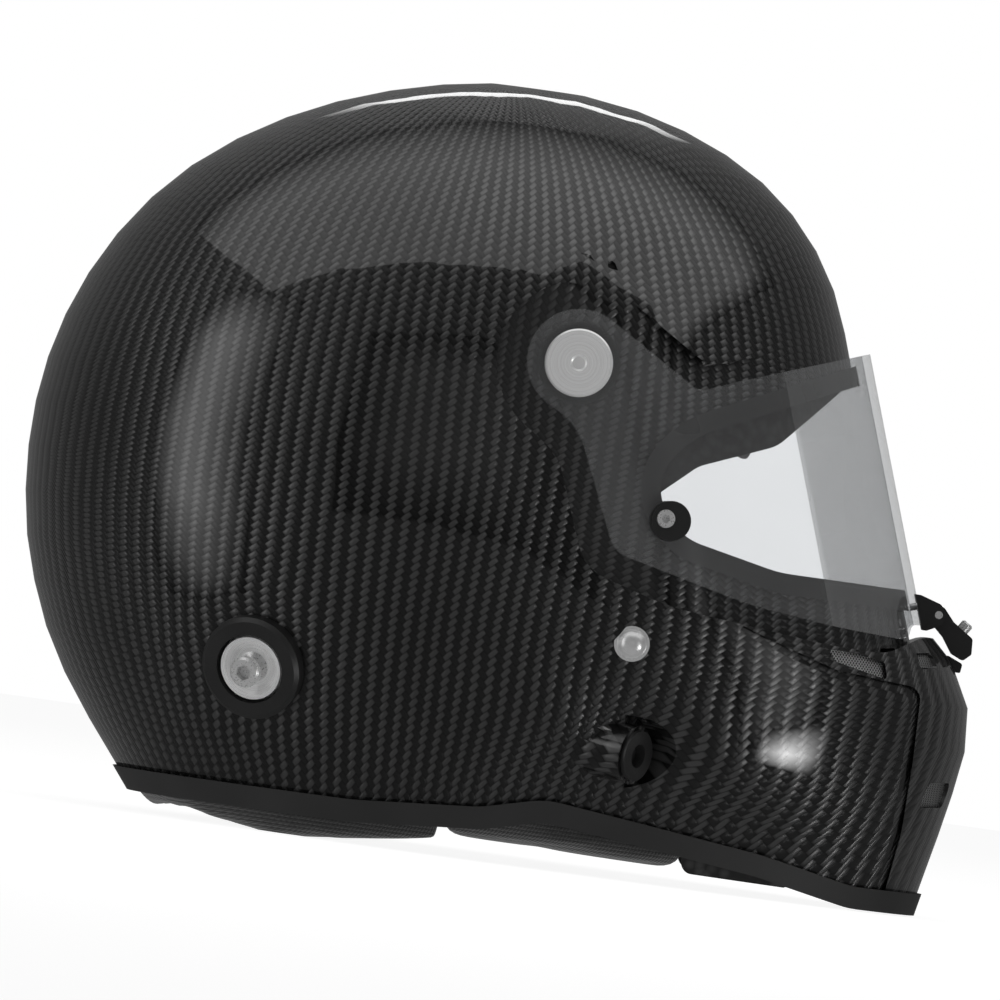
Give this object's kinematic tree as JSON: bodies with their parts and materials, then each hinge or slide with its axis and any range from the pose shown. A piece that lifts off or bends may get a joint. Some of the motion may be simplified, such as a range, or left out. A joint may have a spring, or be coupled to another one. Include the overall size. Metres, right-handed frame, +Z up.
{
  "type": "auto racing helmet",
  "caption": "Full-face carbon auto racing helmet with a hinged clear visor, visor latch, tear-off posts, head restraint anchors, vents, padding and a fastened chin strap.",
  "frame": {"origin": "under the middle of the helmet's bounding box, on the surface that it stands on", "axes": "+X forward out of the face, +Y to the wearer's left, +Z up"},
  "size_m": [0.3441, 0.2462, 0.2723],
  "materials": {
    "carbon_shell": "clear coated black carbon fibre twill",
    "trim_rubber": "matte",
    "clear_visor": "clear polycarbonate, polished",
    "silver_alloy": "fine turned",
    "black_plastic": "satin",
    "steel": "satin",
    "anchor_rubber": "smooth",
    "wire_mesh": "woven wire",
    "foam": "moulded bead foam",
    "black_fabric": "fire resistant knit",
    "strap_web": "woven webbing"
  },
  "bodies": {
    "helmet": {"outer_shell": "carbon_shell", "base_trim": "trim_rubber", "eye_port_seal": "trim_rubber", "visor_pivot_screw_right": "silver_alloy", "visor_pivot_screw_left": "silver_alloy", "anchor_cup_right": "silver_alloy", "anchor_cup_left": "silver_alloy", "visor_pivot_plate_right": "black_plastic", "visor_pivot_plate_left": "black_plastic", "visor_pivot_bush_right": "black_plastic", "visor_pivot_bush_left": "black_plastic", "latch_catch": "black_plastic", "visor_pivot_nut_right": "steel", "visor_pivot_nut_left": "steel", "strap_rivet_right": "steel", "strap_rivet_left": "steel", "strap_washer_right": "steel", "strap_washer_left": "steel", "anchor_nut_right": "steel", "anchor_nut_left": "steel", "anchor_post_right": "steel", "anchor_post_left": "steel", "buckle_ring_lower": "steel", "buckle_ring_upper": "steel", "anchor_ring_right": "anchor_rubber", "anchor_ring_left": "anchor_rubber", "port_plug_right": "anchor_rubber", "port_plug_left": "anchor_rubber", "side_vent_mesh_right": "wire_mesh", "side_vent_mesh_left": "wire_mesh", "lower_vent_mesh_right": "wire_mesh", "lower_vent_mesh_left": "wire_mesh", "upper_vent_mesh_right": "wire_mesh", "upper_vent_mesh_left": "wire_mesh", "impact_liner": "foam", "chin_liner": "foam", "comfort_liner": "black_fabric", "neck_roll": "black_fabric", "cheek_pad_right": "black_fabric", "cheek_pad_left": "black_fabric", "chin_strap_right": "strap_web", "chin_strap_left": "strap_web"},
    "visor_assembly": {"visor": "clear_visor", "latch_bracket": "black_plastic", "latch_pin": "steel", "latch_screws": "steel", "tear_off_screw_right": "steel", "tear_off_screw_left": "steel"},
    "latch": {"latch_lever": "black_plastic", "latch_knob": "steel"},
    "tear_off_post_right": {"tear_off_post_right": "black_plastic"},
    "tear_off_post_left": {"tear_off_post_left": "black_plastic"}
  },
  "joints": [
    {"name": "visor_hinge", "type": "hinge", "parent": "helmet", "child": "visor_assembly", "pos_m": [0.0173, 0, 0.1775], "axis": [0, -1, 0], "range_deg": [0, 50]},
    {"name": "latch_hinge", "type": "hinge", "parent": "visor_assembly", "child": "latch", "pos_m": [0.1562, 0, 0.107], "axis": [0, -1, 0], "range_deg": [0, 60]},
    {"name": "tear_off_post_right_turn", "type": "hinge", "parent": "visor_assembly", "child": "tear_off_post_right", "pos_m": [0.054, -0.10879, 0.1273], "axis": [0.2111, -0.9748, 0.0716], "range_deg": [-90, 90]},
    {"name": "tear_off_post_left_turn", "type": "hinge", "parent": "visor_assembly", "child": "tear_off_post_left", "pos_m": [0.054, 0.10879, 0.1273], "axis": [0.2111, 0.9748, 0.0716], "range_deg": [-90, 90]}
  ]
}
